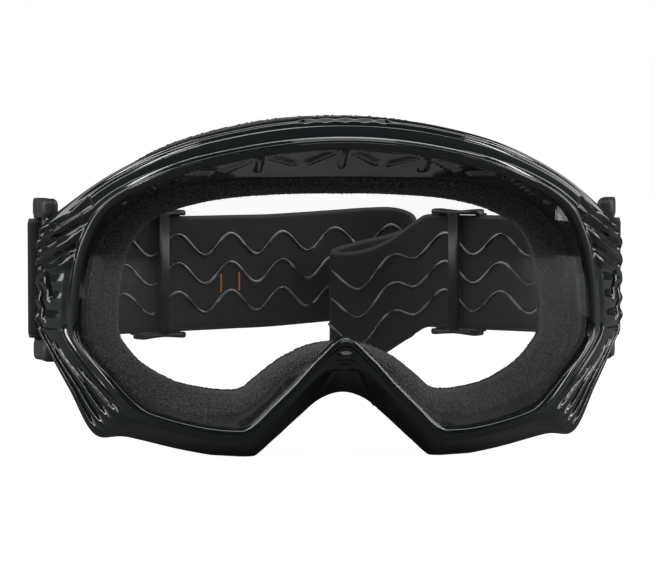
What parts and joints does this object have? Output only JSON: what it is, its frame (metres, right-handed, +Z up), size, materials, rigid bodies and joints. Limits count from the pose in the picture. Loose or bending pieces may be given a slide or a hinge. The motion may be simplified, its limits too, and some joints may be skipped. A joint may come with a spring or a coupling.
{
  "type": "motorcycle goggles",
  "caption": "Off-road motorcycle goggles: moulded frame with nose arch, clear bent lens, foam face seal and a wide elastic strap on swinging outriggers.",
  "frame": {"origin": "middle of the whole object's footprint, on the plane that the frame's two feet stand on", "axes": "+X from the wearer's right to the wearer's left, +Y from the lens towards the head, +Z up"},
  "size_m": [0.1914, 0.1444, 0.1021],
  "materials": {
    "frame_gloss": "polished moulded thermoplastic polyurethane, near black with a trace of green",
    "lens_clear": "clear polycarbonate sheet",
    "foam": "open-cell polyurethane foam, dark grey",
    "fleece": "brushed fleece, black",
    "satin_plastic": "satin moulded nylon, grey black",
    "slider_plastic": "matt moulded acetal, black",
    "pin_steel": "drawn steel wire",
    "webbing": "knitted elastic webbing, black with greyer edges",
    "silicone": "printed silicone, black, glossy",
    "thread_black": "polyester thread",
    "thread_orange": "orange polyester thread"
  },
  "bodies": {
    "root": {"frame": "frame_gloss", "lens": "lens_clear", "face_foam": "foam", "face_fleece": "fleece", "top_vent_foam": "foam", "strap_mount_left": "satin_plastic", "strap_mount_right": "satin_plastic", "hinge_pin_left": "pin_steel", "hinge_pin_right": "pin_steel", "strap_main": "webbing", "silicone_waves": "silicone", "bar_tacks": "thread_orange"},
    "left_arm": {"outrigger_left": "satin_plastic", "strap_loop_left": "webbing"},
    "right_arm": {"outrigger_right": "satin_plastic", "strap_loop_right": "webbing"},
    "left_adjuster": {"slider_left": "slider_plastic", "strap_tail_left": "webbing", "tail_seam_left": "thread_black"},
    "right_adjuster": {"slider_right": "slider_plastic", "strap_tail_right": "webbing", "tail_seam_right": "thread_black"}
  },
  "joints": [
    {"name": "outrigger_left_hinge", "type": "hinge", "parent": "root", "child": "left_arm", "pos_m": [-0.0883, -0.00785, 0.0509], "axis": [0, 0, 1], "range_deg": [0, 35], "deforming": ["strap_loop_left"]},
    {"name": "outrigger_right_hinge", "type": "hinge", "parent": "root", "child": "right_arm", "pos_m": [0.0883, -0.00785, 0.0509], "axis": [0, 0, -1], "range_deg": [0, 35], "deforming": ["strap_loop_right"]},
    {"name": "slider_left_slide", "type": "slide", "parent": "root", "child": "left_adjuster", "axis": [0.8358, 0.549, 0], "range_m": [-0.011, 0.01], "deforming": ["strap_tail_left"]},
    {"name": "slider_right_slide", "type": "slide", "parent": "root", "child": "right_adjuster", "axis": [-0.7848, 0.6198, 0], "range_m": [-0.022, 0.002], "deforming": ["strap_tail_right"]}
  ]
}
